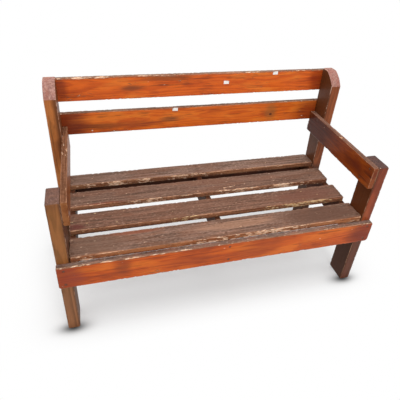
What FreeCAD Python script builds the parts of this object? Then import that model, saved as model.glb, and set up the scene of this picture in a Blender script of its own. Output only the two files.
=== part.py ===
import FreeCAD, Part
import math
import os

from FreeCAD import Placement, Rotation, Vector

# A nailed pine deacons bench: two front posts that carry level arms, two back posts with a leaning
# back edge, four seat slats on a frame of boards on edge, and two back rails.
# Millimetres. +X runs along the bench to its right, +Y to its back and +Z up.
# The origin is on the floor, in the middle of the bench's outer box.

# Main sizes
inner_span = 1331.0            # between the inner faces of the left and right posts
seat_height = 438.0            # floor to the top of the slats
seat_depth = 587.0             # front of the front posts to the back of the back posts, at the seat
arm_height = 712.0             # floor to the tops of the arms and front posts

# Posts
post_thickness = 52.0          # along the bench
front_post_depth = 108.0
back_post_depth = 93.0         # below the seat, where its edges are parallel
back_lean_degrees = 2.35       # of the back edge above the seat
post_arris = 3.0               # taken off the posts' edges

# Head of the back posts
head_above_rail = 10.0         # post top above the upper back rail
head_bevel_drop = 61.0         # post top down to the crease on the front edge
head_bevel_depth = 77.0        # crease back to the flat top
head_bevel_radius = 150.0      # crown of the rounded bevel

# Boards
slat_count = 4
slat_thickness = 25.0
slat_width = 114.0             # of all but the rear one, which is as deep as the posts beside it
middle_slat_lead = 7.0         # slats between the rear and front ones, forward of even spacing
slat_end_gap = 1.0             # between a slat's end and the post beside it
frame_board_thickness = 25.0   # apron, back seat rail and side rails
frame_board_width = 115.0
joist_thickness = 25.0
joist_offset = -6.0            # middle joist, to the left of the bench's middle
apron_overhang = 2.0           # past the outer face of each front post
arm_thickness = 25.0
arm_width = 113.0
rail_thickness = 25.0
rail_width = 110.0
rail_gap = 57.5                # between the two back rails
rail_below_arm = 48.7          # lower back rail's lower edge below the arm tops, along the lean
board_corner_clip = 7.0        # worn off the corners of the boards' faces
board_arris = 2.0              # taken off the boards' edges

# Nails
nail_sides = 8                 # flats that stand for the round shank and head
nail_length = 60.0
nail_shank_diameter = 3.6
nail_tip_diameter = 1.0
nail_head_diameter = 8.0
nail_head_thickness = 1.6
nail_point_length = 5.0
nail_set_depth = 0.8           # top of the head below the wood
nail_clearance = 0.1           # around the shank and the head
nail_edge_margin = 20.0        # from a board's long edge, where a joint has two nails in line
nail_pair_spacing = 46.0       # between two nails side by side in one joint
slat_nail_margin = 24.0        # from a slat's long edge
joist_nail_offset = 4.0        # seat nails left of the joist's middle, end nails right of it
side_rail_nail_heights = (37.0, 61.0)   # above the side rail's lower edge

# Blank paper tags left on the back rails
tag_width = 27.0
tag_height = 16.0
tag_thickness = 0.5
upper_tag_places = ((135.0, 62.5), (395.0, 101.5))   # along X, and up from the rail's lower edge
lower_tag_places = ((-123.0, 101.5),)

# Places that follow from the sizes above
post_inner = inner_span / 2
post_outer = post_inner + post_thickness
post_middle = post_inner + post_thickness / 2
slat_underside = seat_height - slat_thickness
frame_bottom = slat_underside - frame_board_width
lean = math.radians(back_lean_degrees)
lower_rail_rise = (arm_height - seat_height) / math.cos(lean) - rail_below_arm
upper_rail_rise = lower_rail_rise + rail_width + rail_gap
rail_top_rise = upper_rail_rise + rail_width
rail_top = seat_height + rail_top_rise * math.cos(lean)
head_top = rail_top + head_above_rail
full_depth = (frame_board_thickness + seat_depth + rail_top_rise * math.sin(lean)
              + rail_thickness * math.cos(lean))
apron_front = -full_depth / 2
posts_front = apron_front + frame_board_thickness
posts_back = posts_front + seat_depth
back_post_front = posts_back - back_post_depth
front_post_middle = posts_front + front_post_depth / 2
back_post_middle = posts_back - back_post_depth / 2
slat_step = (seat_depth - back_post_depth) / (slat_count - 1)   # from one front edge to the next

slat_numbers = range(1, slat_count + 1)

ALONG_X = Vector(1, 0, 0)
ALONG_Y = Vector(0, 1, 0)
ALONG_Z = Vector(0, 0, 1)
FULL_TURN = 360.0


def back_edge(height):
    """Y of the back posts' back edge at a height, upright to the seat and leaning above it."""
    return posts_back + max(0.0, height - seat_height) * math.tan(lean)


def planed(solid, arris):
    """The solid with the arris taken off all its edges."""
    return solid.makeChamfer(arris, solid.Edges)


def board(length, width, thickness):
    """A board along X with its face up, from one corner at the origin, with worn corners."""
    blank = Part.makeBox(length, width, thickness)
    corners = [edge for edge in blank.Edges if edge.BoundBox.ZLength > thickness / 2]
    return planed(blank.makeChamfer(board_corner_clip, corners), board_arris)


def turned(solid, axis, degrees):
    """A copy of the solid turned about an axis through the origin."""
    return solid.transformed(Placement(Vector(), Rotation(axis, degrees)).toMatrix())


def moved(solid, x, y, z):
    """A copy of the solid moved by x, y and z."""
    return solid.translated(Vector(x, y, z))


def board_on_edge_along_x(length, width, thickness):
    """A board along X that stands on its long edge, with its faces to the front and back."""
    return moved(turned(board(length, width, thickness), ALONG_X, 90), 0, thickness, 0)


def board_on_edge_along_y(length, width, thickness):
    """A board along Y that stands on its long edge, with its faces to the sides."""
    return moved(turned(board_on_edge_along_x(length, width, thickness), ALONG_Z, 90), thickness, 0, 0)


def on_lean(solid, rise):
    """The solid carried up the posts' leaning back edge, its front face on that edge."""
    tilted = turned(moved(solid, 0, 0, rise), ALONG_X, -back_lean_degrees)
    return moved(tilted, 0, posts_back, seat_height)


def mirrored(solid):
    """The same piece for the bench's other end."""
    return solid.mirror(Vector(), ALONG_X)


def make_front_post():
    """Right front post: a stout upright from the floor to the top of the arm."""
    blank = Part.makeBox(post_thickness, front_post_depth, arm_height)
    return moved(planed(blank, post_arris), post_inner, posts_front, 0)


def make_back_post():
    """Right back post: upright front edge, leaning back edge and a head with a crowned bevel."""
    crease = Vector(0, back_post_front, head_top - head_bevel_drop)
    flat_start = Vector(0, back_post_front + head_bevel_depth, head_top)
    chord = flat_start - crease
    outward = ALONG_X.cross(chord).normalize()
    half_chord = chord.Length / 2
    crown = head_bevel_radius - math.sqrt(head_bevel_radius ** 2 - half_chord ** 2)
    bevel_middle = crease + chord * 0.5 + outward * crown
    top_back = Vector(0, back_edge(head_top), head_top)
    seat_back = Vector(0, posts_back, seat_height)
    foot_back = Vector(0, posts_back, 0)
    foot_front = Vector(0, back_post_front, 0)
    outline = Part.Wire([
        Part.makeLine(foot_front, crease),
        Part.Arc(crease, bevel_middle, flat_start).toShape(),
        Part.makeLine(flat_start, top_back),
        Part.makeLine(top_back, seat_back),
        Part.makeLine(seat_back, foot_back),
        Part.makeLine(foot_back, foot_front),
    ])
    blank = Part.Face(outline).extrude(ALONG_X * post_thickness)
    return moved(planed(blank, post_arris), post_inner, 0, 0)


def make_arm():
    """Right arm: a board on edge inside the posts, its back end cut to the lean of the back."""
    arm_bottom = arm_height - arm_width
    outline = Part.makePolygon([
        Vector(0, posts_front, arm_bottom),
        Vector(0, posts_front, arm_height),
        Vector(0, back_edge(arm_height), arm_height),
        Vector(0, back_edge(arm_bottom), arm_bottom),
        Vector(0, posts_front, arm_bottom),
    ])
    blank = Part.Face(outline).extrude(ALONG_X * arm_thickness)
    return moved(planed(blank, board_arris), post_inner - arm_thickness, 0, 0)


def make_side_rail():
    """Right side rail: carries the slat ends, between the apron and the back seat rail."""
    rail = board_on_edge_along_y(seat_depth, frame_board_width, frame_board_thickness)
    return moved(rail, post_inner - frame_board_thickness, posts_front, frame_bottom)


def make_middle_joist():
    """A thinner board on edge that carries the slats near the middle of the span."""
    joist = board_on_edge_along_y(seat_depth, frame_board_width, joist_thickness)
    return moved(joist, joist_offset - joist_thickness / 2, posts_front, frame_bottom)


def make_front_apron():
    """The board nailed across the fronts of the front posts."""
    length = 2 * (post_outer + apron_overhang)
    apron = board_on_edge_along_x(length, frame_board_width, frame_board_thickness)
    return moved(apron, -length / 2, apron_front, frame_bottom)


def make_back_seat_rail():
    """The board nailed across the backs of the back posts, under the seat."""
    rail = board_on_edge_along_x(2 * post_outer, frame_board_width, frame_board_thickness)
    return moved(rail, -post_outer, posts_back, frame_bottom)


def slat_width_at(number):
    """Width of a slat. Number 1 is the rear one, between the back posts."""
    return back_post_depth if number == 1 else slat_width


def slat_front_at(number):
    """Y of a slat's front edge. The slats are numbered from the back."""
    lead = middle_slat_lead if 1 < number < slat_count else 0.0
    return back_post_front - (number - 1) * slat_step - lead


def make_slat(number):
    """A seat slat between the posts' inner faces."""
    length = inner_span - 2 * slat_end_gap
    slat = board(length, slat_width_at(number), slat_thickness)
    return moved(slat, -length / 2, slat_front_at(number), slat_underside)


def make_back_rail(rise):
    """A back rail nailed to the leaning backs of the posts."""
    rail = board_on_edge_along_x(2 * post_outer, rail_width, rail_thickness)
    return on_lean(moved(rail, -post_outer, 0, 0), rise)


def many_sided(diameter, height):
    """The outline of a round nail's section at a height, drawn with flats."""
    turn = 2 * math.pi / nail_sides
    corners = [Vector(diameter / 2 * math.cos(turn * i), diameter / 2 * math.sin(turn * i), height)
               for i in range(nail_sides)]
    return Part.makePolygon(corners + corners[:1])


def tapered(*sections):
    """A solid with flat sides through sections, each a diameter and a height."""
    return Part.makeLoft([many_sided(*section) for section in sections], True, True)


def nail_solid():
    """A wire nail along +Z, with the wood's face at the origin."""
    head_base = nail_set_depth + nail_head_thickness
    head = tapered((nail_head_diameter, nail_set_depth), (nail_head_diameter, head_base))
    shank = tapered((nail_shank_diameter, head_base),
                    (nail_shank_diameter, nail_length - nail_point_length),
                    (nail_tip_diameter, nail_length))
    return head.fuse(shank)


def nail_hole():
    """The hole that a nail fits, along +Z, with the wood's face at the origin."""
    head_base = nail_set_depth + nail_head_thickness + nail_clearance
    recess_diameter = nail_head_diameter + 2 * nail_clearance
    bore_diameter = nail_shank_diameter + 2 * nail_clearance
    recess = tapered((recess_diameter, 0), (recess_diameter, head_base))
    bore = tapered((bore_diameter, head_base), (bore_diameter, nail_length + nail_clearance))
    return recess.fuse(bore)


def driven(solid, place, direction):
    """A nail, or its hole, with the head at a place on the wood and the point along a direction."""
    return solid.transformed(Placement(place, Rotation(ALONG_Z, direction)).toMatrix())


def on_lean_place(x, rise):
    """A place on the back face of a back rail, at a rise along the lean."""
    y = posts_back + rise * math.sin(lean) + rail_thickness * math.cos(lean)
    z = seat_height + rise * math.cos(lean) - rail_thickness * math.sin(lean)
    return Vector(x, y, z)


def pair(middle):
    """Two places side by side about a middle."""
    return (middle - nail_pair_spacing / 2, middle + nail_pair_spacing / 2)


def flipped(vector):
    """A place or direction carried over to the bench's other end."""
    return Vector(-vector.x, vector.y, vector.z)


def both_ends(places):
    """Places and directions at the right end, and the same at the left end."""
    return places + [(flipped(place), flipped(direction)) for place, direction in places]


def seat_nail_places():
    """Two nails where each slat crosses a side rail or the middle joist, clear of the joist's end nails."""
    support_lines = (-post_inner + frame_board_thickness / 2, joist_offset - joist_nail_offset,
                     post_inner - frame_board_thickness / 2)
    places = []
    for number in slat_numbers:
        front = slat_front_at(number) + slat_nail_margin
        back = slat_front_at(number) + slat_width_at(number) - slat_nail_margin
        places += [(Vector(x, y, seat_height), -ALONG_Z) for x in support_lines for y in (front, back)]
    return places


def frame_end_nail_places(face, direction):
    """Nails through a board across the posts' faces, into each post and the joist's end."""
    heights = (frame_bottom + nail_edge_margin, slat_underside - nail_edge_margin)
    lines = (-post_middle, joist_offset + joist_nail_offset, post_middle)
    return [(Vector(x, face, z), direction) for x in lines for z in heights]


def back_rail_nail_places(rise):
    """Nails through a back rail into the back posts, from behind and square to the lean."""
    forward = Vector(0, -math.cos(lean), math.sin(lean))
    rises = (rise + nail_edge_margin, rise + rail_width - nail_edge_margin)
    return [(on_lean_place(x, r), forward) for x in (-post_middle, post_middle) for r in rises]


def arm_nail_places():
    """Nails through the arms into the posts, one above the other at each post."""
    heights = (arm_height - nail_edge_margin, arm_height - arm_width + nail_edge_margin)
    face = post_inner - arm_thickness
    places = []
    for middle in (front_post_middle, back_post_middle):
        places += [(Vector(face, y, z), ALONG_X) for y, z in zip(pair(middle), heights)]
    return both_ends(places)


def side_rail_nail_places():
    """Nails through the side rails into the posts, set apart from the apron's nails."""
    face = post_inner - frame_board_thickness
    places = []
    for middle in (front_post_middle, back_post_middle):
        for y, height in zip(pair(middle), side_rail_nail_heights):
            places.append((Vector(face, y, frame_bottom + height), ALONG_X))
    return both_ends(places)


def make_tags(rise, places):
    """Blank paper tags on the front of a back rail."""
    blank = Part.makeBox(tag_width, tag_thickness, tag_height)
    tags = []
    for x, up in places:
        tags.append(on_lean(moved(blank, x - tag_width / 2, -tag_thickness, up - tag_height / 2), rise))
    return tags


def grouped(solid, places):
    """One compound of a nail, or of its hole, at all the places."""
    return Part.makeCompound([driven(solid, place, direction) for place, direction in places])


def drilled(solid, *hole_groups):
    """The solid with the nail holes that reach it."""
    holes = [hole for group in hole_groups for hole in group.Solids
             if hole.BoundBox.intersect(solid.BoundBox)]
    return solid.cut(Part.makeCompound(holes)).Solids[0] if holes else solid


def make_nail_places():
    """Where the nails go: each group's name, with its places and directions."""
    return {
        "seat_nails": seat_nail_places(),
        "apron_nails": frame_end_nail_places(apron_front, ALONG_Y),
        "back_seat_rail_nails": frame_end_nail_places(posts_back + frame_board_thickness, -ALONG_Y),
        "upper_back_rail_nails": back_rail_nail_places(upper_rail_rise),
        "lower_back_rail_nails": back_rail_nail_places(lower_rail_rise),
        "arm_nails": arm_nail_places(),
        "side_rail_nails": side_rail_nail_places(),
    }


def make_woodwork():
    """All the boards and posts, before their nail holes."""
    pieces = {}
    paired = {"front_post": make_front_post, "back_post": make_back_post,
              "arm": make_arm, "side_rail": make_side_rail}
    for name, make in paired.items():
        right = make()
        pieces["right_" + name] = right
        pieces["left_" + name] = mirrored(right)
    for number in slat_numbers:
        pieces["seat_slat_" + str(number)] = make_slat(number)
    pieces["front_apron"] = make_front_apron()
    pieces["back_seat_rail"] = make_back_seat_rail()
    pieces["middle_joist"] = make_middle_joist()
    pieces["upper_back_rail"] = make_back_rail(upper_rail_rise)
    pieces["lower_back_rail"] = make_back_rail(lower_rail_rise)
    return pieces


def make_nodes():
    """Every node of the bench: drilled woodwork, its nails and the tags."""
    places = make_nail_places()
    holes = [grouped(nail_hole(), group) for group in places.values()]
    nodes = {name: drilled(solid, *holes) for name, solid in make_woodwork().items()}
    nodes.update({name: grouped(nail_solid(), group) for name, group in places.items()})
    nodes["paper_tags"] = Part.makeCompound(make_tags(upper_rail_rise, upper_tag_places)
                                            + make_tags(lower_rail_rise, lower_tag_places))
    return nodes


os.makedirs("parts", exist_ok=True)
for name, shape in make_nodes().items():
    shape.exportStep("parts/" + name + ".step")
    print(name, len(shape.Solids), "solid(s), valid:", shape.isValid())
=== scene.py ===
import functools
import math

import bmesh
import bpy
import numpy as np
from mathutils import Matrix, Vector


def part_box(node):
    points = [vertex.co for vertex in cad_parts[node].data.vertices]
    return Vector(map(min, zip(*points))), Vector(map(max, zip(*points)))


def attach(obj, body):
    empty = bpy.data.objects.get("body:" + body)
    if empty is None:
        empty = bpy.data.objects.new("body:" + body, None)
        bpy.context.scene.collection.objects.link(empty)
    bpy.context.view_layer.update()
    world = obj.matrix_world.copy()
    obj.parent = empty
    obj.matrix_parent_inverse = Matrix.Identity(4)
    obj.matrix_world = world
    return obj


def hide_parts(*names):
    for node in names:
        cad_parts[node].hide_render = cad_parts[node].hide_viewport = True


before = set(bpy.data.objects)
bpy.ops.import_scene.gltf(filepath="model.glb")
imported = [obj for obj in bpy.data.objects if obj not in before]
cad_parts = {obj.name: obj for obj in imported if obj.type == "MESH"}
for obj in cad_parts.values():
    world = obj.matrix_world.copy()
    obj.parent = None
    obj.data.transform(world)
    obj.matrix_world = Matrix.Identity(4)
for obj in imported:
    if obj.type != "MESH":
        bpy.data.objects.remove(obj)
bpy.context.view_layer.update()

# Sizes that the boxes of the bench's pieces don't give, in metres
LEAN = math.radians(2.35)          # of the back posts' back edge and the back rails
RAIL_WIDTH = 0.110
RAIL_THICKNESS = 0.025
HEAD_BEVEL_DROP = 0.061            # post top down to the crease
HEAD_BEVEL_DEPTH = 0.077           # crease back to the flat top
HEAD_BEVEL_RADIUS = 0.150
SEAT_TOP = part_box("seat_slat_4")[1].z
FOOT_WEAR = 0.014                  # radius that the front posts' feet are worn to
TOP_WEAR = 0.007                   # and their tops
UNEVENNESS = 0.0006                # of a board's faces
CHIPPED_EDGE = 0.006               # in from an edge, as far as its chips reach
NAIL_HEAD = 0.0042                 # radius
NAIL_LENGTH = 0.060
NAIL_DISH = 0.0013                 # depth of the dent that the hammer left round a nail
NAIL_DISH_SPREAD = 0.0075
NAIL_REACH = 0.004                 # outside a board's box, as far as its own nails' heads may be
TAG_SHEET = 0.0004                 # a tag's thickness, and how far it stands out from its CAD box's middle

# Points of the surfaces
CELL = 0.0045                      # metres between the points along a board
POINTS_ACROSS = 26
POINTS_THROUGH = 9
TAG_COLUMNS = 16
TAG_ROWS = 10
TINY = 1e-12                       # keeps a division from being by nothing

# The photograph's view, in metres and degrees
CAMERA_SPOT = (-0.5224, -1.5184, 1.6224)
CAMERA_TURN = -17.826              # less than 0 turns to the right
CAMERA_DROP = 33.835               # below level
CAMERA_ROLL = 4.42
LENS = 36.37                       # millimetres, on a sensor of the width below
SENSOR_WIDTH = 36.0
SHIFT = (-0.0134, -0.0612)         # shares of the picture


class Wire:
    """A node's socket. Maths on it adds Math nodes, and [name] gives the node's other outputs."""

    def __init__(self, net, socket):
        self.net = net
        self.socket = socket

    def __getitem__(self, name):
        return Wire(self.net, self.socket.node.outputs[name])

    def __add__(self, other):
        return self.net.maths("ADD", self, other)

    def __radd__(self, other):
        return self.net.maths("ADD", other, self)

    def __sub__(self, other):
        return self.net.maths("SUBTRACT", self, other)

    def __rsub__(self, other):
        return self.net.maths("SUBTRACT", other, self)

    def __mul__(self, other):
        return self.net.maths("MULTIPLY", self, other)

    def __rmul__(self, other):
        return self.net.maths("MULTIPLY", other, self)

    def __truediv__(self, other):
        return self.net.maths("DIVIDE", self, other)

    def __rtruediv__(self, other):
        return self.net.maths("DIVIDE", other, self)

    def __abs__(self):
        return self.net.maths("ABSOLUTE", self)

    def __gt__(self, other):
        return self.net.maths("GREATER_THAN", self, other)


class Net:
    """The nodes of one material or of one Geometry Nodes tree."""

    def __init__(self, tree):
        self.tree = tree
        tree.nodes.clear()

    def node(self, kind, settings=None, sockets=None, result=0):
        """A node of any type: its settings are set first, then its sockets' values or links."""
        made = self.tree.nodes.new(kind)
        for name, value in (settings or {}).items():
            setattr(made, name, value)
        for key, value in (sockets or {}).items():
            for item in value if isinstance(value, list) else [value]:
                if isinstance(item, Wire):
                    self.tree.links.new(item.socket, made.inputs[key])
                else:
                    made.inputs[key].default_value = item
        return Wire(self, made.outputs[result]) if made.outputs else None

    def maths(self, operation, *terms):
        return self.node("ShaderNodeMath", {"operation": operation}, dict(enumerate(terms)))

    def least(self, a, b):
        return self.maths("MINIMUM", a, b)

    def most(self, a, b):
        return self.maths("MAXIMUM", a, b)

    def kept(self, value):
        """The value held between 0 and 1."""
        return self.least(self.most(value, 0.0), 1.0)

    def rise(self, value, low, high):
        """Smoothly 0 at low and 1 at high, whichever of them is more."""
        sockets = {"Value": value, "From Min": low, "From Max": high}
        return self.node("ShaderNodeMapRange", {"interpolation_type": "SMOOTHSTEP"}, sockets)

    def hill(self, *steps):
        """1 where each value is at its middle, falling away smoothly beyond its reach."""
        total = 0.0
        for value, middle, reach in steps:
            off = (value - middle) / reach
            total = total + off * off
        return self.maths("EXPONENT", total * -1.0)

    def vector(self, x, y, z):
        return self.node("ShaderNodeCombineXYZ", None, {0: x, 1: y, 2: z})

    def parts(self, vector):
        whole = self.node("ShaderNodeSeparateXYZ", None, {0: vector})
        return whole["X"], whole["Y"], whole["Z"]

    def arrows(self, operation, a, b, result=0):
        return self.node("ShaderNodeVectorMath", {"operation": operation}, {0: a, 1: b}, result)

    def noise(self, vector, stretch, detail=2.0, roughness=0.5):
        """Cloudy noise about 0.5, with this many waves to the metre on each axis."""
        sockets = {"Vector": self.arrows("MULTIPLY", vector, stretch), "Scale": 1.0,
                   "Detail": detail, "Roughness": roughness}
        return self.node("ShaderNodeTexNoise", None, sockets)

    def blend(self, mask, under, over, way="MIX"):
        """The colour over laid on the colour under by the mask. Either may be six hex digits."""
        under, over = (paint(tone) if isinstance(tone, str) else tone for tone in (under, over))
        settings = {"data_type": "RGBA", "blend_type": way}
        return self.node("ShaderNodeMix", settings, {0: mask, 6: under, 7: over}, 2)

    def surface(self, sockets):
        """Ends a material in one surface with these sockets."""
        shader = self.node("ShaderNodeBsdfPrincipled", None, sockets)
        self.node("ShaderNodeOutputMaterial", None, {"Surface": shader})


def paint(code):
    """A colour as it is seen, written as six hex digits, for a shader's socket."""
    seen = [int(code[i:i + 2], 16) / 255 for i in (0, 2, 4)]
    return (*(s / 12.92 if s <= 0.04045 else ((s + 0.055) / 1.055) ** 2.4 for s in seen), 1.0)


def new_material(name):
    material = bpy.data.materials.new(name)
    material.use_nodes = True
    return material, Net(material.node_tree)


def new_tree(name, inputs, result):
    """A Geometry Nodes tree with these inputs, each a label and the kind of its socket."""
    tree = bpy.data.node_groups.new(name, "GeometryNodeTree")
    for label, kind in inputs.items():
        tree.interface.new_socket(label, in_out="INPUT", socket_type="NodeSocket" + kind)
    tree.interface.new_socket(result, in_out="OUTPUT", socket_type="NodeSocketGeometry")
    return tree, Net(tree)


def grown(name, tree, inputs, start=None):
    """The plain mesh object that a Geometry Nodes tree makes from these inputs."""
    piece = bpy.data.objects.new(name, start or bpy.data.meshes.new(name))
    bpy.context.scene.collection.objects.link(piece)
    modifier = piece.modifiers.new("shape", "NODES")
    modifier.node_group = tree
    for item in tree.interface.items_tree:
        if item.name in inputs:
            modifier[item.identifier] = inputs[item.name]
    done = bpy.data.meshes.new_from_object(piece.evaluated_get(bpy.context.evaluated_depsgraph_get()))
    piece.modifiers.clear()
    piece.data = done
    piece.data.shade_smooth()
    return piece


def finish_piece(piece, node):
    """Hides a CAD node and puts the piece that takes its place on the bench's root body."""
    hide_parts(node)
    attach(piece, "root")


def points_of(mesh):
    flat = np.empty(len(mesh.vertices) * 3)
    mesh.vertices.foreach_get("co", flat)
    return flat.reshape(-1, 3)


def put_points(mesh, points):
    mesh.vertices.foreach_set("co", points.ravel())
    mesh.update()


def loose_solids(node):
    """The points of each separate solid in a CAD node."""
    merged = bmesh.new()
    merged.from_mesh(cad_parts[node].data)
    bmesh.ops.remove_doubles(merged, verts=merged.verts, dist=1e-5)
    waiting = set(merged.verts)
    solids = []
    while waiting:
        found = [waiting.pop()]
        for vert in found:
            near = {edge.other_vert(vert) for edge in vert.link_edges} & waiting
            waiting -= near
            found.extend(near)
        solids.append(np.array([vert.co for vert in found]))
    merged.free()
    return solids


def nail_places(node):
    """The middle of each nail head's top in a CAD node of nails, and the way that it faces."""
    places = []
    for spots in loose_solids(node):
        middle = (spots.min(0) + spots.max(0)) / 2
        axis = np.linalg.svd(spots - spots.mean(0))[2][0]
        along = (spots - middle) @ axis
        spread = np.linalg.norm(spots - middle - np.outer(along, axis), axis=1)
        if along[spread.argmax()] < 0:
            axis, along = -axis, -along
        places.append((Vector(middle + axis * along.max()), Vector(axis)))
    return sorted(places, key=lambda place: tuple(place[0]))


NAIL_NODES = ("seat_nails", "apron_nails", "back_seat_rail_nails", "upper_back_rail_nails",
              "lower_back_rail_nails", "arm_nails", "side_rail_nails")
nails = {node: nail_places(node) for node in NAIL_NODES}


# Boards

BOARD_SIZES = ("Length", "Width", "Thickness", "Left front corner", "Right front corner",
               "Left back corner", "Right back corner", "Edge radius", "Chip depth", "Wear behind",
               "Unevenness", "Seed")


def make_board_tree():
    """A board with its length on X, its width on Y and its face up, centred on the origin.
    Its corners and edges are worn round, its edges chipped and its faces a little uneven."""
    tree, net = new_tree("worn_board", dict.fromkeys(BOARD_SIZES, "Float") | {"Wood": "Material"}, "Board")
    given = net.node("NodeGroupInput")
    size = net.vector(given["Length"], given["Width"], given["Thickness"])
    blank = net.node("GeometryNodeMeshCube", None,
                     {"Size": size, "Vertices X": given["Length"] / CELL, "Vertices Y": POINTS_ACROSS,
                      "Vertices Z": POINTS_THROUGH})
    x, y, z = net.parts(net.node("GeometryNodeInputPosition"))
    half_x = given["Length"] * 0.5
    half_y = given["Width"] * 0.5
    half_z = given["Thickness"] * 0.5

    # the points are drawn closer together towards the edges
    along = net.maths("POWER", abs(x) / half_x, 8.0)
    x = x * (1.1 - 0.1 * along)
    y = y * (1.42 - 0.42 * (y / half_y) * (y / half_y))
    z = z * (1.4 - 0.4 * (z / half_z) * (z / half_z))
    out_x, out_y, out_z = abs(x), abs(y), abs(z)

    # corners of the face, each with its own radius
    right = x > 0.0
    back = y > 0.0
    front_radius = given["Left front corner"] * (1.0 - right) + given["Right front corner"] * right
    back_radius = given["Left back corner"] * (1.0 - right) + given["Right back corner"] * right
    radius = front_radius * (1.0 - back) + back_radius * back
    from_x = net.most(out_x - (half_x - radius), 0.0)
    from_y = net.most(out_y - (half_y - radius), 0.0)
    reach = net.maths("SQRT", from_x * from_x + from_y * from_y + TINY)
    pull = net.most(from_x, from_y) / reach
    core_x = out_x - from_x
    core_y = out_y - from_y

    # the arris between a face and the sides
    place = net.arrows("ADD", net.vector(x, y, z), net.vector(given["Seed"], given["Seed"] * 0.7, 3.1))
    edge_noise = net.noise(place, (22.0, 22.0, 22.0), 3.0, 0.6)
    chip_noise = net.noise(place, (70.0, 110.0, 110.0))
    chip_patches = net.noise(place, (6.0, 9.0, 9.0), 1.0)
    low_noise = net.noise(place, (5.0, 16.0, 16.0))
    in_side = net.least(half_x - out_x, half_y - out_y)
    in_face = half_z - out_z
    wear = given["Wear behind"] + (1.0 - given["Wear behind"]) * net.rise(z / half_z, -0.8, 0.0)
    arris = given["Edge radius"] * (0.3 + 1.4 * edge_noise) * wear
    a = net.most(arris - in_side, 0.0)
    b = net.most(arris - in_face, 0.0)
    turn = net.most(a, b) / net.maths("SQRT", a * a + b * b + TINY)

    # chips, and faces that are a little uneven
    near_edge = net.most(1.0 - in_side / CHIPPED_EDGE, 0.0) * net.most(1.0 - in_face / CHIPPED_EDGE, 0.0)
    chipped = net.rise(chip_noise + 0.6 * (chip_patches - 0.5), 0.52, 0.66)
    chip = given["Chip depth"] * chipped * near_edge * wear
    uneven = given["Unevenness"] * low_noise * wear
    side_in = a - a * turn + chip + uneven * (1.0 - net.kept(in_side / CHIPPED_EDGE))
    face_in = b - b * turn + chip + uneven * (out_z / half_z)
    new_x = core_x + from_x * pull - side_in * (from_x / reach)
    new_y = core_y + from_y * pull - side_in * (from_y / reach)
    new_z = out_z - face_in
    worn = net.vector(new_x * net.maths("SIGN", x), new_y * net.maths("SIGN", y),
                      new_z * net.maths("SIGN", z))
    shaped = net.node("GeometryNodeSetPosition", None, {"Geometry": blank, "Position": worn})
    finished = net.node("GeometryNodeSetMaterial", None, {"Geometry": shaped, "Material": given["Wood"]})
    net.node("NodeGroupOutput", None, {0: net.node("GeometryNodeRealizeInstances", None, {0: finished})})
    return tree


board_tree = make_board_tree()

# how a board's own axes (length, width, face) lie in the bench
FLAT = Matrix(((1, 0, 0), (0, 1, 0), (0, 0, 1)))
ON_EDGE_ALONG_X = Matrix(((1, 0, 0), (0, 0, -1), (0, 1, 0)))
ON_EDGE_ALONG_Y = Matrix(((0, 0, 1), (1, 0, 0), (0, 1, 0)))
UPRIGHT = Matrix(((0, 0, -1), (0, 1, 0), (1, 0, 0)))
ON_LEAN = Matrix.Rotation(-LEAN, 3, "X") @ ON_EDGE_ALONG_X


def placed(node, way):
    """Where a board lies, as a matrix, and its length, width and thickness."""
    low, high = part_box(node)
    sizes = way.transposed() @ (high - low)
    sizes = Vector((abs(sizes.x), abs(sizes.y), abs(sizes.z)))
    if way is ON_LEAN:
        sizes = Vector((high.x - low.x, RAIL_WIDTH, RAIL_THICKNESS))
    return Matrix.Translation((low + high) / 2) @ way.to_4x4(), sizes


def nails_in(node, groups):
    """The nails of these groups whose heads lie in or on a CAD node's box."""
    low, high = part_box(node)
    return [(spot, out) for group in groups for spot, out in nails[group]
            if all(low[i] - NAIL_REACH < spot[i] < high[i] + NAIL_REACH for i in range(3))]


def dish_nails(mesh, places):
    """Dents the wood round each nail, so that its head lies in a shallow dish."""
    points = points_of(mesh)
    for spot, out in places:
        away = points - np.array(spot)
        distance = np.linalg.norm(away, axis=1)
        depth = NAIL_DISH * np.exp(-(distance / NAIL_DISH_SPREAD) ** 2)
        points -= np.outer(depth, np.array(out))
    put_points(mesh, points)


def cut_board(node, way, look, seed, corners=(0.008, 0.008, 0.008, 0.008), edge=0.0028,
              chip=0.0016, behind=1.0, held_by=()):
    """A worn board in the place of a CAD node. Its corners are left front, right front, left back
    and right back, as its own face is seen. Its back is worn by the share behind."""
    place, sizes = placed(node, way)
    own_nails = nails_in(node, held_by)
    wood = pine(node + "_pine", place, sizes / 2, seed, look, [spot for spot, out in own_nails])
    values = (*sizes, *corners, edge, chip, behind, UNEVENNESS, float(seed))
    piece = grown(node + "_board", board_tree, dict(zip(BOARD_SIZES, values), Wood=wood))
    piece.data.transform(place)
    dish_nails(piece.data, own_nails)
    return piece


def make_board(node, way, look, seed, slot, **shape):
    """A board that needs no more shaping once it is cut."""
    finish_piece(cut_board(node, way, look, seed, **shape), node)


# Wood

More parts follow.
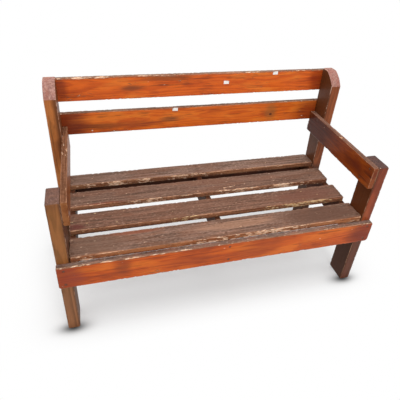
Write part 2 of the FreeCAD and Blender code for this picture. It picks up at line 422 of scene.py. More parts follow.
class Wood:
    """Pine under an old finish, in a board's own axes: u along it, v across it and w through it."""

    def __init__(self, net, place, half, seed, look):
        self.net = net
        self.half = half
        self.look = look
        self.bench = net.node("ShaderNodeTexCoord", result="Object")
        turned = {"Vector": self.bench, "Location": place.to_translation(), "Rotation": place.to_euler()}
        at = net.node("ShaderNodeMapping", {"vector_type": "TEXTURE"}, turned)
        self.u, self.v, self.w = net.parts(at)

        # how far in from the board's ends and sides, and from its nearest arris
        self.in_u = half.x - abs(self.u)
        in_v = half.y - abs(self.v)
        in_w = half.z - abs(self.w)
        self.edge = net.most(net.least(self.in_u, in_v), net.least(net.most(self.in_u, in_v), in_w))

        # noises, from the broadest across the grain to the finest
        self.own = net.arrows("ADD", at, (seed * 3.7, seed * 1.9, seed * 5.3))
        self.sway = net.noise(self.own, (1.7, 7.0, 7.0)) - 0.5
        self.patches = net.noise(self.own, (6.0, 14.0, 14.0))
        self.blotch = net.noise(self.own, (4.5, 17.0, 17.0), 3.0, 0.55)
        self.wander = net.noise(self.own, (7.0, 45.0, 45.0)) - 0.5
        self.cloud = net.noise(self.own, (14.0, 45.0, 45.0))
        self.streaks = net.noise(self.own, (4.5, 130.0, 130.0), 3.0, 0.6)
        self.shreds = net.noise(self.own, (42.0, 170.0, 170.0), 3.0, 0.6)
        self.speckle = net.noise(self.own, (75.0, 230.0, 230.0), 2.0, 0.6)
        self.grit = net.noise(self.own, (100.0, 240.0, 240.0), 3.0, 0.65)
        self.fibres = net.noise(self.own, (22.0, 800.0, 800.0), 2.0, 0.6)

    def rings(self):
        """1 on the late wood of each growth ring, round the pith line and bent round the knots."""
        net, look = self.net, self.look
        pith_v, pith_w = look["pith"]
        off_v = self.v - pith_v
        off_w = self.w - pith_w
        radius = net.maths("SQRT", off_v * off_v + off_w * off_w)
        radius = radius + self.sway * look["sway"] + self.wander * 0.004
        for knot_u, knot_v, size in look["knots"]:
            bend = net.hill((self.u, knot_u, size * 2.6), (self.v, knot_v, size * 1.6))
            radius = radius + bend * (size * 1.1)
        saw = net.maths("FRACT", radius / look["ring"])
        return net.rise(saw, 0.2, 0.8) * net.rise(saw, 1.0, 0.9)

    def stained(self, late):
        """The colour over the rings: blotches, dark streaks, fades, smudges, knots, darker ends and fibres.
        Some of the fades are painted shade.
        """
        net, look = self.net, self.look
        colour = net.blend(late * net.kept(0.1 + self.streaks * look["rings"]), look["early"], look["late"])
        colour = net.blend(net.rise(self.blotch, 0.5, 0.66) * look["blotch"], colour, look["deep"])
        colour = net.blend(net.rise(self.blotch, 0.48, 0.32) * look["bright"], colour, look["light"])
        streak = net.rise(self.streaks + (self.cloud - 0.5) * 0.5, 0.56, 0.68)
        colour = net.blend(streak * look["streak"], colour, look["dark"])
        # some fades paint shade: a post's inner side, the back posts below the seat and the slats'
        # undersides
        for axis, start, end, tone, amount in look["fades"]:
            ragged = getattr(self, axis) + (self.blotch - 0.5) * min(0.12, abs(end - start))
            shade = net.blend(late * 0.5 + self.streaks * 0.4, tone, look["dark"])
            colour = net.blend(net.rise(ragged, start, end) * amount, colour, shade)
        for u, v, reach_u, reach_v, tone, amount in look["smudges"]:
            spot = net.hill((self.u, u, reach_u * 1.4), (self.v, v, reach_v * 1.3))
            smudge = spot * (0.1 + self.streaks * 0.8 + self.blotch)
            colour = net.blend(net.rise(smudge, 0.25, 1.0) * amount, colour, tone)
        for u, v, size in look["knots"]:
            core = net.hill((self.u, u, size * 1.5), (self.v, v, size)) + (self.cloud - 0.5) * 0.5
            colour = net.blend(net.rise(core, 0.3, 0.55) * 0.8, colour, "3a1c0e")
        ends = net.rise(self.in_u + (self.blotch - 0.5) * 0.14, look["end_reach"], 0.0)
        colour = net.blend(ends * look["ends"], colour, look["end"])
        return net.blend(0.55, colour, net.blend(self.fibres, "828282", "ffffff"), "MULTIPLY")

    def greyed(self, colour):
        """Upper faces greyed, partly by weathering and partly as a painted reflection of the sky, with the
        grain standing out of them, and worn spots.
        """
        net, look = self.net, self.look
        up = net.parts(net.node("ShaderNodeTexCoord", result="Normal"))[2]
        # the grey on upward faces is partly weathering and partly a painted reflection of the sky
        weathered_and_sheen = net.rise(up, *look["up"]) * net.kept(look["weather_and_sheen"] + (self.cloud - 0.5) * 0.8)
        grain = self.streaks * 0.62 + self.speckle * 0.38 + (self.fibres - 0.5) * 0.3
        grey = net.blend(net.rise(grain, 0.34, 0.66), look["grey_dark"], look["grey"])
        warm = net.rise(self.blotch + self.wander * 0.7, 0.5, 0.66)
        grey = net.blend(warm * 0.5, grey, look["grey_warm"])
        grey = net.blend(net.rise(self.speckle, 0.62, 0.72) * look["dust"], grey, look["dust_tone"])
        colour = net.blend(weathered_and_sheen, colour, grey)
        for u, v, reach_u, reach_v, tone, amount in look["worn_spots"]:
            spot = net.hill((self.u, u, reach_u), (self.v, v, reach_v)) + (self.streaks - 0.5) * 1.2
            colour = net.blend(net.rise(spot, 0.3, 0.8) * amount, colour, tone)
        return colour, weathered_and_sheen

    def cracked(self, colour):
        """Cracks along the grain."""
        net = self.net
        split = abs(net.noise(self.own, (2.6, 62.0, 62.0)) - 0.5)
        crack = net.rise(split, 0.012, 0.002) * net.rise(self.patches, 0.48, 0.6) * self.look["cracks"]
        return net.blend(crack, colour, "24130c"), crack

    def rubbed(self, colour):
        """One long rim rubbed dull, and the arrises paled in places, partly rubbed bare and partly as a
        painted highlight.
        """
        net, look = self.net, self.look
        from_rim = self.half.y - look["rim_side"] * self.v
        if look["rim_front"]:
            from_rim = net.most(from_rim, (self.half.z - self.w) * 0.5)
        reach = look["rim_reach"]
        ragged = from_rim + (self.cloud - 0.5) * reach * 1.6 + (self.grit - 0.5) * reach
        rim = net.rise(ragged, reach, 0.0)
        pale = net.rise(self.streaks + (self.grit - 0.5) * 0.6, 0.4, 0.6)
        colour = net.blend(rim * look["rim"], colour, net.blend(pale, look["rim_dark"], look["rim_light"]))
        # pale arrises: partly wear, partly a painted highlight along the edge
        arris = net.rise(self.edge + (self.cloud - 0.5) * 0.004, 0.0035, 0.0005)
        arris = arris * net.rise(self.w, look["arris_from"], look["arris_from"] + 0.004)
        arris = arris * net.rise(self.shreds + (self.patches - 0.5) * 0.8, 0.36, 0.52)
        return net.blend(arris * look["arris"], colour, look["arris_tone"]), rim

    def flaked(self, colour, rim):
        """Flakes lost from the finish, most of them near the edges, each with a dark lip."""
        net, look = self.net, self.look
        loss = self.shreds * 0.6 + self.cloud * 0.4 + (self.patches - 0.5) * look["patchy"]
        loss = loss + rim * look["rim_flakes"] - net.least(self.edge, 0.012) * look["inward"]
        for u, spread, amount in look["runs"]:
            loss = loss + net.hill((self.u, u, spread)) * (rim * amount)
        lip = net.rise(loss, look["flake"] - 0.07, look["flake"] - 0.02)
        flake = net.rise(loss, look["flake"], look["flake"] + 0.045) * look["flaked"]
        colour = net.blend(lip * 0.55, colour, look["lip"])
        bare = net.blend(net.rise(self.grit, 0.4, 0.62), look["flake_warm"], look["flake_pale"])
        return net.blend(flake, colour, bare), flake, lip

    def flecked(self, colour):
        """Small pale flecks, here and there."""
        net, look = self.net, self.look
        stretched = net.arrows("MULTIPLY", self.own, (55.0, 130.0, 130.0))
        cells = net.node("ShaderNodeTexVoronoi", None, {"Vector": stretched, "Scale": 1.0})
        chance, size, tint = net.parts(cells["Color"])
        fleck = net.rise(cells["Distance"], 0.14 + size * 0.3, 0.06 + size * 0.1)
        fleck = fleck * (chance > look["flecks"])
        return net.blend(fleck * 0.75, colour, net.blend(tint, look["flake_warm"], look["flake_pale"]))

    def rusted(self, colour, nail_spots):
        """Rust stains in the wood round its nails."""
        net = self.net
        away = [net.arrows("DISTANCE", self.bench, spot, "Value") for spot in nail_spots]
        nearest = functools.reduce(net.least, away)
        rust = net.rise(nearest + (self.grit - 0.5) * 0.006, 0.0085, 0.0040)
        return net.blend(rust * self.look["rust"], colour, "4a2818")


def pine(name, place, half, seed, look, nail_spots):
    """The material of a board at this place with these half sizes, worn as the look says."""
    material, net = new_material(name)
    wood = Wood(net, place, half, seed, look)
    late = wood.rings()
    colour, weathered_and_sheen = wood.greyed(wood.stained(late))
    colour, crack = wood.cracked(colour)
    colour, rim = wood.rubbed(colour)
    colour, flake, lip = wood.flaked(colour, rim)
    colour = wood.flecked(colour)
    if nail_spots:
        colour = wood.rusted(colour, nail_spots)

    height = late * 0.3 + wood.fibres * look["fibre_height"] + wood.streaks * 0.5
    height = height - crack * 1.2 - flake * 0.9 - lip * 0.2
    bump = net.node("ShaderNodeBump", None,
                    {"Strength": look["relief"], "Distance": 0.0009, "Height": height})
    dull = net.most(net.most(weathered_and_sheen, flake), net.kept(rim * look["rim"]))
    rough = look["rough"] + (wood.streaks - 0.5) * 0.25 + (wood.cloud - 0.5) * 0.2 + dull * look["dull"]
    net.surface({"Base Color": colour, "Roughness": net.kept(rough),
                 "Coat Weight": net.kept(look["coat"] * (1.0 - dull)), "Normal": bump,
                 "Coat Roughness": 0.12, "Specular IOR Level": look["specular"]})
    return material


# Looks of the wood. Places and reaches are in metres along a board's own axes:
#   fades: axis, where it starts, where it is full, tone, amount
#   smudges and worn_spots: u, v, reach along u, reach along v, tone, amount
#   runs of flakes along the rim: u, spread, amount
#   knots: u, v, size

VARNISHED = dict(
    pith=(0.012, -0.055), sway=0.045, ring=0.0052, rings=0.9, early="f0741a", late="cc4c0c", knots=(),
    blotch=0.6, deep="b0420f", bright=0.6, light="ff8c2c", streak=0.45, dark="6c2a0e",
    smudges=(), worn_spots=(), fades=(), ends=0.5, end_reach=0.12, end="8c3212", fibre_height=0.25,
    up=(0.5, 0.92), weather_and_sheen=0.95, grey_dark="543c2e", grey="8a6f5e", grey_warm="84502f", cracks=0.3,
    dust=0.6, dust_tone="c8a890",
    rim_side=1, rim_front=True, rim_reach=0.007, rim=0.7, rim_dark="5a3a28", rim_light="9a745a",
    arris=0.6, arris_tone="d09a78", arris_from=-1.0, patchy=0.35, rim_flakes=0.05, inward=9.0, runs=(),
    flake=0.60, flaked=0.9, flake_pale="f0d8be", flake_warm="d8a27a", lip="6c4630", flecks=0.999,
    rough=0.45, dull=0.25, coat=0.10, relief=0.35, specular=0.20, rust=0.6)

WEATHERED = dict(
    VARNISHED, early="885438", late="643a26", blotch=0.5, deep="6c3824", bright=0.35, light="9c6444",
    streak=0.5, dark="3e2016", end_reach=0.09, end="443028", weather_and_sheen=0.97,
    grey_dark="50392c", grey="937262", grey_warm="7a523e", dust_tone="bc9a86",
    # the fade paints the slats darker towards their undersides, as shade
    fades=(("w", -0.003, -0.0115, "2c1a12", 0.85),),
    rim_side=-1, rim_front=False, rim_reach=0.008, rim=0.6, rim_dark="6c3c26", rim_light="b47c58",
    arris=0.85, arris_tone="dcae8e", arris_from=0.002, patchy=0.45, rim_flakes=0.07, inward=4.0,
    flake=0.64, flake_pale="eccfb2", flake_warm="cc9470", lip="5c3a28", flecks=0.965,
    rough=0.62, dull=0.1, coat=0.04, relief=0.6, specular=0.18, rust=0.35)

# the pieces under the seat: pine with less varnish, made darker still, tops too, as painted shade
SHADED = dict(
    VARNISHED, early="6e3618", late="4a2410", deep="46200f", bright=0.3, light="7e4420",
    streak=0.5, dark="2c150a", end="3a2014", weather_and_sheen=0.4, grey_dark="2c1a12", grey="48301f",
    grey_warm="3c2216", dust=0.1, rim=0.3, rim_dark="3a2418", rim_light="5c4030", arris=0.1,
    flaked=0.5, flake=0.68, rough=0.65, coat=0.04)

POST = dict(
    VARNISHED, pith=(0.03, 0.012), sway=0.02, ring=0.0048, early="b06a34", late="84491e", blotch=0.55,
    deep="7c4420", bright=0.5, light="c07a3a", dark="54301a", ends=0.3, end="6a3c28", end_reach=0.05,
    # upward faces, the head bevels among them, are greyed partly by weathering and partly as a painted sky
    # reflection
    up=(0.32, 0.6), weather_and_sheen=0.97, grey_dark="553c34", grey="7c5a4e", grey_warm="6e4a3e", dust=0.25,
    rim=0.0, rim_front=False, arris_tone="d0a080", patchy=0.3, rim_flakes=0.0,
    inward=10.0, flake=0.62, rough=0.5, coat=0.06)


# The bench's boards and posts

def make_seat():
    """The slats, from the rear one to the front one."""
    rear = dict(
        WEATHERED, rim_light="b07a52", rim_reach=0.011, inward=3.0, grey="a08070",
        runs=((-0.57, 0.03, 0.12), (-0.44, 0.06, 0.19), (-0.3, 0.05, 0.15), (-0.12, 0.12, 0.10)),
        worn_spots=((-0.58, 0.01, 0.12, 0.05, "6c5040", 0.5),))
    second = dict(
        WEATHERED, runs=((-0.33, 0.10, 0.10), (0.35, 0.2, 0.06)), grey="886858",
        worn_spots=((-0.5, -0.05, 0.12, 0.006, "74301f", 0.6),))
    third = dict(
        WEATHERED, runs=((-0.52, 0.05, 0.10), (-0.2, 0.1, 0.10), (0.3, 0.22, 0.11)), grey="8a6452",
        flake_warm="c4925c", flake_pale="e6cba0",
        worn_spots=((-0.64, -0.035, 0.05, 0.02, "5a2420", 0.7), (0.48, 0.0, 0.2, 0.05, "704638", 0.6)))
    front = dict(
        WEATHERED, early="b06c40", late="884c28", rim_light="bc7c50", rim_dark="84482a",
        runs=((-0.62, 0.05, 0.08), (0.1, 0.3, 0.07), (0.6, 0.06, 0.10)),
        worn_spots=((-0.40, 0.045, 0.16, 0.014, "8c4c32", 0.6), (0.05, 0.01, 0.2, 0.03, "a87e64", 0.5),
                    (0.46, 0.0, 0.22, 0.07, "604234", 0.8), (-0.56, 0.0, 0.14, 0.07, "6c5040", 0.6)))
    slats = (("seat_slat_1", rear, 0.0026), ("seat_slat_2", second, 0.0020),
             ("seat_slat_3", third, 0.0026), ("seat_slat_4", front, 0.0020))
    for number, (node, look, chip) in enumerate(slats, 1):
        make_board(node, FLAT, look, number, "weathered_pine", corners=(0.008, 0.009, 0.006, 0.009),
                   chip=chip, behind=0.2, held_by=("seat_nails",))


def make_frame():
    """The apron, and behind it the rails and the joist under the seat."""
    apron = dict(
        VARNISHED, early="e0641a", late="b8460e", light="f88228", deep="9c3c14", end="8c2e0e",
        end_reach=0.16, ends=0.6, runs=((-0.6, 0.12, 0.14), (-0.35, 0.2, 0.10), (0.4, 0.2, 0.04)),
        flecks=0.994, dust=0.9, dust_tone="dcc0b0", grey_dark="544038", grey="8c7468", grey_warm="7c5848",
        smudges=((-0.461, 0.02, 0.035, 0.05, "8a3c1c", 0.7), (-0.67, 0.0, 0.05, 0.06, "a04838", 0.5),
                 (0.67, 0.0, 0.07, 0.06, "7c2c08", 0.9), (-0.18, -0.01, 0.12, 0.03, "a0441a", 0.5),
                 (0.13, 0.0, 0.11, 0.06, "b04c1a", 0.8)))
    make_board("front_apron", ON_EDGE_ALONG_X, apron, 5, "varnished_pine",
               corners=(0.010, 0.014, 0.008, 0.012), chip=0.0020, behind=0.15, held_by=("apron_nails",))
    make_board("back_seat_rail", ON_EDGE_ALONG_X, SHADED, 6, "varnished_pine",
               held_by=("back_seat_rail_nails",))
    for node, seed in (("left_side_rail", 7), ("right_side_rail", 8)):
        make_board(node, ON_EDGE_ALONG_Y, SHADED, seed, "shaded_pine", held_by=("side_rail_nails",))
    make_board("middle_joist", ON_EDGE_ALONG_Y, SHADED, 9, "shaded_pine")


def make_arms():
    left = dict(
        VARNISHED, early="9c5628", late="784018", light="b06830", deep="743a1c", rim_front=False,
        rim_dark="583420", rim_light="845840", runs=((-0.2, 0.12, 0.02), (0.1, 0.15, 0.02)), flake=0.66,
        grey_dark="543322", grey="80583f", grey_warm="784a2e", dust=0.8, flecks=0.965, specular=0.06,
        end="b87c4c", end_reach=0.03)
    right = dict(
        VARNISHED, early="984208", late="742c04", light="b85a0a", deep="6a2608", dark="3c1606",
        rim_front=False, rim=0.4, rim_dark="543626", rim_light="8c6450", runs=((0.0, 0.12, 0.04),),
        grey_dark="5a4036", grey="8c6a5a", grey_warm="805040", specular=0.12,
        fades=(("u", -0.08, 0.14, "582410", 0.9),), smudges=((-0.18, 0.02, 0.03, 0.04, "6c240c", 0.5),),
        end="96542e", end_reach=0.03)
    for node, look, seed in (("left_arm", left, 10), ("right_arm", right, 11)):
        make_board(node, ON_EDGE_ALONG_Y, look, seed, "varnished_pine", held_by=("arm_nails",))


def make_back():
    """The two rails of the back, on the back posts' lean."""
    upper = dict(
        VARNISHED, early="f6701a", light="ff8e30", rim_reach=0.010,
        runs=((-0.57, 0.04, 0.26), (-0.47, 0.04, 0.22), (-0.2, 0.10, 0.04), (0.45, 0.1, 0.03)),
        smudges=((-0.332, -0.002, 0.05, 0.014, "7c4020", 0.8), (-0.18, 0.04, 0.12, 0.012, "84481e", 0.7),
                 (-0.65, 0.0, 0.025, 0.06, "8c3416", 0.6), (0.64, 0.0, 0.04, 0.06, "902c10", 0.7)))
    lower = dict(
        VARNISHED, runs=((-0.56, 0.08, 0.07), (-0.1, 0.3, 0.02)), knots=((0.401, -0.012, 0.006),),
        smudges=((-0.149, -0.005, 0.05, 0.014, "7c441e", 0.8), (-0.5, -0.02, 0.12, 0.016, "74401c", 0.7),
                 (-0.63, 0.0, 0.09, 0.07, "80300f", 1.0), (0.40, 0.0, 0.03, 0.06, "9c6430", 0.6),
                 (-0.53, -0.04, 0.003, 0.003, "f4ece0", 1.0),
                 (0.62, 0.0, 0.08, 0.06, "8c3412", 0.75), (-0.32, -0.02, 0.1, 0.02, "a0441c", 0.6)))
    make_board("upper_back_rail", ON_LEAN, upper, 12, "varnished_pine", chip=0.0026,
               held_by=("upper_back_rail_nails",))
    make_board("lower_back_rail", ON_LEAN, lower, 13, "varnished_pine", chip=0.0020,
               held_by=("lower_back_rail_nails",))


def shape_head(mesh, low, high):
    """Fits an upright board to the back posts' profile: a leaning back edge above the seat and a
    crowned bevel down the front of the head."""
    points = points_of(mesh)
    back_foot = high.y - (high.z - SEAT_TOP) * math.tan(LEAN)
    across = (points[:, 1] - low.y) / (high.y - low.y)
    z = points[:, 2]
    crease = high.z - HEAD_BEVEL_DROP
    z[np.abs(z - crease) < CELL / 2] = crease
    chord = math.hypot(HEAD_BEVEL_DEPTH, HEAD_BEVEL_DROP)
    inward = math.sqrt(HEAD_BEVEL_RADIUS ** 2 - chord ** 2 / 4) / chord
    arc_y = low.y + HEAD_BEVEL_DEPTH / 2 + HEAD_BEVEL_DROP * inward
    arc_z = crease + HEAD_BEVEL_DROP / 2 - HEAD_BEVEL_DEPTH * inward
    on_arc = arc_y - np.sqrt(np.maximum(HEAD_BEVEL_RADIUS ** 2 - (z - arc_z) ** 2, 0.0))
    front = np.where(z > crease, np.maximum(on_arc, low.y), low.y)
    back = back_foot + np.maximum(z - SEAT_TOP, 0.0) * math.tan(LEAN)
    points[:, 1] = front + across * (back - front)
    put_points(mesh, points)


def make_back_post(node, look, seed):
    piece = cut_board(node, UPRIGHT, look, seed, corners=(0.005, 0.003, 0.004, 0.003))
    shape_head(piece.data, *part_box(node))
    piece.data.set_sharp_from_angle(angle=math.radians(29))
    finish_piece(piece, node)


def make_front_post(node, look, seed, corners, edge):
    """A front post, its foot and its top worn round across the bench."""
    low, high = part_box(node)
    piece = cut_board(node, UPRIGHT, look, seed, corners=corners, edge=edge)
    points = points_of(piece.data)
    middle = (high.x + low.x) / 2
    for from_end, radius in ((points[:, 2] - low.z, FOOT_WEAR), (high.z - points[:, 2], TOP_WEAR)):
        into = 1.0 - np.clip(from_end / radius, 0.0, 1.0)
        share = 1.0 - radius * (1.0 - np.sqrt(1.0 - into ** 2)) / (high.x - middle)
        points[:, 0] = middle + (points[:, 0] - middle) * share
    put_points(piece.data, points)
    finish_piece(piece, node)


def make_posts():
    """The posts. Along a post u rises from its middle, and w is to the bench's left."""
    # the back posts are painted darker below the seat, as shade
    painted_shade_under_seat = ("u", -0.03, -0.09, "2e1a10", 0.85)
    # pink greys and pale pink arrises for the back posts' heads: weathering and wear, with a painted sky
    # reflection and a painted highlight
    pinkish = dict(grey_dark="805850", grey="b88c80", grey_warm="985c50", arris_tone="e4b8a0", arris=0.8)
    # each post's 'w' fade paints its inner side darker, as shade
    back_left = dict(
        POST, **pinkish, early="cc7a3c", late="9c5824", light="d88c48",
        fades=(painted_shade_under_seat, ("w", 0.0, -0.022, "6a3a20", 0.8)))
    back_right = dict(
        POST, **pinkish, early="a85a30", late="7e3e1c", light="bc7040", deep="74381c",
        fades=(painted_shade_under_seat, ("w", 0.018, 0.024, "6c3a18", 0.95)))
    front_left = dict(
        POST, early="aa6c3a", late="805024", light="bc7c44", deep="80582a",
        fades=(("w", -0.018, -0.024, "5c3426", 0.9), ("u", -0.02, -0.12, "b07854", 0.6)))
    front_right = dict(
        POST, early="a04824", late="742f14", light="b45c30", deep="6c2c16", streak=0.8,
        grey_dark="3c2c2a", grey="5e4640", grey_warm="523834",
        fades=(("w", 0.018, 0.024, "70360c", 0.95), ("u", -0.02, -0.10, "5c3828", 0.8)))
    make_front_post("left_front_post", front_left, 14, (0.012, 0.009, 0.010, 0.014), 0.0045)
    make_front_post("right_front_post", front_right, 15, (0.012, 0.008, 0.012, 0.008), 0.0040)
    make_back_post("left_back_post", back_left, 16)
    make_back_post("right_back_post", back_right, 17)


# Nails

def make_nail_tree():
    """A wire nail at each point, head outwards, each turned and tipped a little by chance."""
    inputs = {"Places": "Geometry", "Head radius": "Float", "Length": "Float", "Steel": "Material"}
    tree, net = new_tree("driven_nails", inputs, "Nails")
    given = net.node("NodeGroupInput")
    head_radius = given["Head radius"]
    length = given["Length"]
    thick = head_radius * 0.4
    x, y, z = net.parts(net.node("GeometryNodeInputPosition"))

    # the head, its upper face a little smaller and crowned
    disc = net.node("GeometryNodeMeshCylinder", None,
                    {"Vertices": 18, "Side Segments": 2, "Fill Segments": 3, "Radius": head_radius,
                     "Depth": thick})
    out = (x * x + y * y) / (head_radius * head_radius)
    upper = z > 0.0
    drawn_in = 1.0 - 0.06 * upper
    crowned = net.vector(x * drawn_in, y * drawn_in, z - thick * 0.5 - upper * out * thick * 0.28)
    head = net.node("GeometryNodeSetPosition", None, {"Geometry": disc, "Position": crowned})

    # the shank, drawn to a point
    rod = net.node("GeometryNodeMeshCylinder", None,
                   {"Vertices": 8, "Side Segments": 10, "Radius": head_radius * 0.45,
                    "Depth": length - thick})
    point = net.kept((z + (length - thick) * 0.5) / (length * 0.09) + 0.12)
    tapered = net.vector(x * point, y * point, z - length * 0.5)
    shank = net.node("GeometryNodeSetPosition", None, {"Geometry": rod, "Position": tapered})
    nail = net.node("GeometryNodeJoinGeometry", None, {0: [head, shank]})

    facing = net.node("GeometryNodeInputNamedAttribute", {"data_type": "FLOAT_VECTOR"}, {"Name": "out"})
    aligned = net.node("FunctionNodeAlignRotationToVector", {"axis": "Z"}, {"Vector": facing})
    spin = net.node("FunctionNodeRandomValue", {"data_type": "FLOAT_VECTOR"},
                    {0: (-0.05, -0.05, 0.0), 1: (0.05, 0.05, math.tau), "Seed": 4})
    tipped = net.node("FunctionNodeEulerToRotation", None, {0: spin})
    turned = net.node("FunctionNodeRotateRotation", {"rotation_space": "LOCAL"},
                      {"Rotation": aligned, "Rotate By": tipped})
    driven = net.node("GeometryNodeInstanceOnPoints", None,
                      {"Points": given["Places"], "Instance": nail, "Rotation": turned})
    real = net.node("GeometryNodeRealizeInstances", None, {0: driven})
    finished = net.node("GeometryNodeSetMaterial", None, {"Geometry": real, "Material": given["Steel"]})
    net.node("NodeGroupOutput", None, {0: finished})
    return tree


def old_steel():
    """Dull wire-nail steel, with brown rust and varnish caught on it."""
    material, net = new_material("old_nail_steel")
    at = net.node("ShaderNodeTexCoord", result="Object")
    rust = net.noise(at, (520.0, 520.0, 520.0), 3.0, 0.6)
    hammered = net.noise(at, (900.0, 900.0, 900.0))
    brown = net.rise(rust, 0.42, 0.58)
    colour = net.blend(brown, "6a4c3c", "5c3420")
    colour = net.blend(net.rise(hammered, 0.58, 0.7) * 0.6, colour, "8c7264")
    bump = net.node("ShaderNodeBump", None,
                    {"Strength": 0.5, "Distance": 0.0003, "Height": hammered + rust * 0.6})
    net.surface({"Base Color": colour, "Metallic": 0.75 - brown * 0.6, "Roughness": 0.45 + brown * 0.35,
                 "Normal": bump})
    return material


def make_nails():
    """Each group of nails, as one piece."""
    tree = make_nail_tree()
    inputs = {"Head radius": NAIL_HEAD, "Length": NAIL_LENGTH, "Steel": old_steel()}
    for node, places in nails.items():
        spots = bpy.data.meshes.new(node + "_places")
        spots.from_pydata([tuple(spot) for spot, out in places], [], [])
        outward = spots.attributes.new("out", "FLOAT_VECTOR", "POINT")
        outward.data.foreach_set("vector", [number for spot, out in places for number in out])
        finish_piece(grown(node + "_driven", tree, inputs, spots), node)


# Paper tags

def tag_paper():
    """Plain white paper with a little tooth, yellowed here and there."""
    material, net = new_material("blank_tag_paper")
    at = net.node("ShaderNodeTexCoord", result="Object")
    tooth = net.noise(at, (1400.0, 1400.0, 1400.0), 3.0, 0.6)
    cast = net.noise(at, (60.0, 60.0, 60.0))
    colour = net.blend(net.rise(cast, 0.45, 0.7) * 0.5, "fbf9f5", "efe6d6")
    colour = net.blend(net.rise(tooth, 0.55, 0.75) * 0.25, colour, "dcd5c8")
    bump = net.node("ShaderNodeBump", None, {"Strength": 0.3, "Distance": 0.0002, "Height": tooth})
    net.surface({"Base Color": colour, "Roughness": 0.75 + tooth * 0.2, "Normal": bump})
    return material


def tag_points(number, low, high):
    """The points of a tag's back and then of its face, in this box on the rails' lean. It is a
    little askew, and one of its upper corners lifts."""
    middle = (low + high) / 2
    width, height = high[0] - low[0], high[2] - low[2]
    skew = 0.06 * math.sin(number * 2.3 + 1.0)
    points = []
    for layer in (1, 2):
        for j in range(TAG_ROWS + 1):
            for i in range(TAG_COLUMNS + 1):
                a, b = i / TAG_COLUMNS - 0.5, j / TAG_ROWS - 0.5
                lift = max(0.0, (a if number % 2 else -a) + b - 0.55) ** 2 * 0.03
                across = (a + skew * b * height / width) * width
                up = (b - skew * a * width / height) * height
                out = layer * TAG_SHEET + lift
                points.append((middle[0] + across, middle[1] + up * math.sin(LEAN) - out,
                               middle[2] + up * math.cos(LEAN) + out * math.sin(LEAN)))
    return points


def tag_faces(start):
    """The faces of a tag whose first point has this number: its back, its face and its rim."""
    step = TAG_COLUMNS + 1
    layer = step * (TAG_ROWS + 1)
    faces = []
    for j in range(TAG_ROWS):
        for i in range(TAG_COLUMNS):
            a = start + j * step + i
            faces.append((a, a + step, a + step + 1, a + 1))
            faces.append((a + layer, a + layer + 1, a + layer + step + 1, a + layer + step))
    rim = [start + i for i in range(step)]
    rim += [start + j * step + TAG_COLUMNS for j in range(1, TAG_ROWS + 1)]
    rim += [start + TAG_ROWS * step + i for i in range(TAG_COLUMNS - 1, -1, -1)]
    rim += [start + j * step for j in range(TAG_ROWS - 1, 0, -1)]
    for a, b in zip(rim, rim[1:] + rim[:1]):
        faces.append((a, b, b + layer, a + layer))
    return faces


def make_tags():
    """The blank tags, from left to right, as one piece."""
    boxes = [(spots.min(0), spots.max(0)) for spots in loose_solids("paper_tags")]
    points, faces = [], []
    for number, (low, high) in enumerate(sorted(boxes, key=lambda box: box[0][0])):
        faces += tag_faces(len(points))
        points += tag_points(number, low, high)
    mesh = bpy.data.meshes.new("paper_tags_stuck")
    mesh.from_pydata(points, [], faces)
    mesh.materials.append(tag_paper())
    piece = bpy.data.objects.new("paper_tags_stuck", mesh)
    bpy.context.scene.collection.objects.link(piece)
    finish_piece(piece, "paper_tags")


# Floor, light and camera

def seeing(net, ray):
    """1 for the rays that see the white round the bench."""
    return net.kept(ray["Is Camera Ray"] + ray["Is Glossy Ray"] + ray["Is Transmission Ray"])


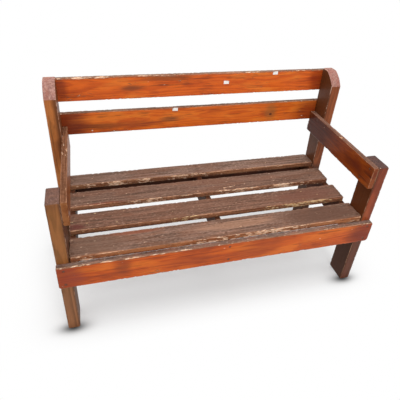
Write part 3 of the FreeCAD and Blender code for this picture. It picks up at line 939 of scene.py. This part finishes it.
def make_floor():
    """A pale floor that is seen as white, but for the bench's own shade under it and a shadow painted round
    its feet.
    """
    mesh = bpy.data.meshes.new("floor")
    mesh.from_pydata([(-30, -30, 0), (30, -30, 0), (30, 30, 0), (-30, 30, 0)], [], [(0, 1, 2, 3)])
    floor = bpy.data.objects.new("floor", mesh)
    bpy.context.scene.collection.objects.link(floor)
    material, net = new_material("pale_floor")
    ray = net.node("ShaderNodeLightPath")
    seen = seeing(net, ray)
    x, y = net.parts(net.node("ShaderNodeTexCoord", result="Object"))[:2]
    under = net.rise(y, -0.44, -0.18) * net.rise(y, 0.75, 0.3) * net.rise(abs(x), 1.0, 0.6)
    # a soft shadow painted on the floor round each post's foot, darkening both its colour and its whiteness
    painted_foot_shadow = 0.0
    for post, behind_front, reach in (("left_front_post", 0.006, 0.032), ("right_front_post", 0.006, 0.032),
                                      ("left_back_post", 0.046, 0.060), ("right_back_post", 0.046, 0.060)):
        low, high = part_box(post)
        beside = (x, (low.x + high.x) / 2 - 0.004, 0.070)
        painted_foot_shadow = painted_foot_shadow + net.hill(beside, (y, low.y + behind_front, reach))
    after_painted_shadow = 1.0 - net.kept(painted_foot_shadow) * 0.95
    tone = (0.45 + ray["Is Camera Ray"] * 0.5) * after_painted_shadow
    plain = net.node("ShaderNodeBsdfDiffuse", None, {"Color": net.vector(tone, tone, tone)})
    bright = net.node("ShaderNodeEmission", None, {"Color": (1.0, 1.0, 1.0, 1.0), "Strength": 1.0})
    whiteness = seen * (1.0 - under * 0.78) * after_painted_shadow
    surface = net.node("ShaderNodeMixShader", None, {0: whiteness, 1: plain, 2: bright})
    net.node("ShaderNodeOutputMaterial", None, {"Surface": surface})
    mesh.materials.append(material)


def make_light():
    """A white studio that lights the bench from all round, and two soft lamps."""
    world = bpy.data.worlds.new("studio")
    bpy.context.scene.world = world
    world.use_nodes = True
    net = Net(world.node_tree)
    seen = seeing(net, net.node("ShaderNodeLightPath"))
    sky = net.node("ShaderNodeBackground", None,
                   {"Color": (1.0, 1.0, 1.0, 1.0), "Strength": 0.75 + seen * 0.25})
    net.node("ShaderNodeOutputWorld", None, {"Surface": sky})
    for name, spot, aim, size, power in (("overhead", (0.0, 0.2, 3.0), (0.0, 0.0, 0.0), 1.6, 36.0),
                                         ("front", (0.5, -3.4, 1.7), (0.0, 0.0, 0.6), 1.8, 40.0)):
        lamp = bpy.data.lights.new(name, "AREA")
        lamp.shape = "DISK"
        lamp.size = size
        lamp.energy = power
        holder = bpy.data.objects.new(name, lamp)
        holder.location = spot
        holder.rotation_euler = (Vector(aim) - Vector(spot)).to_track_quat("-Z", "Y").to_euler()
        bpy.context.scene.collection.objects.link(holder)


def make_camera():
    """The photograph's view: from above the left front, looking down and to the right."""
    lens = bpy.data.cameras.new("camera")
    lens.sensor_width = SENSOR_WIDTH
    lens.lens = LENS
    lens.shift_x, lens.shift_y = SHIFT
    lens.clip_end = 100.0
    camera = bpy.data.objects.new("camera", lens)
    turn = Matrix.Rotation(math.radians(CAMERA_TURN), 4, "Z")
    aim = turn @ Matrix.Rotation(math.radians(90 - CAMERA_DROP), 4, "X")
    roll = Matrix.Rotation(math.radians(CAMERA_ROLL), 4, "Z")
    camera.matrix_world = Matrix.Translation(CAMERA_SPOT) @ aim @ roll
    bpy.context.scene.collection.objects.link(camera)
    bpy.context.scene.camera = camera


make_camera()
make_seat()
make_frame()
make_arms()
make_back()
make_posts()
make_nails()
make_tags()
make_floor()
make_light()

bpy.context.scene.view_settings.view_transform = "Standard"
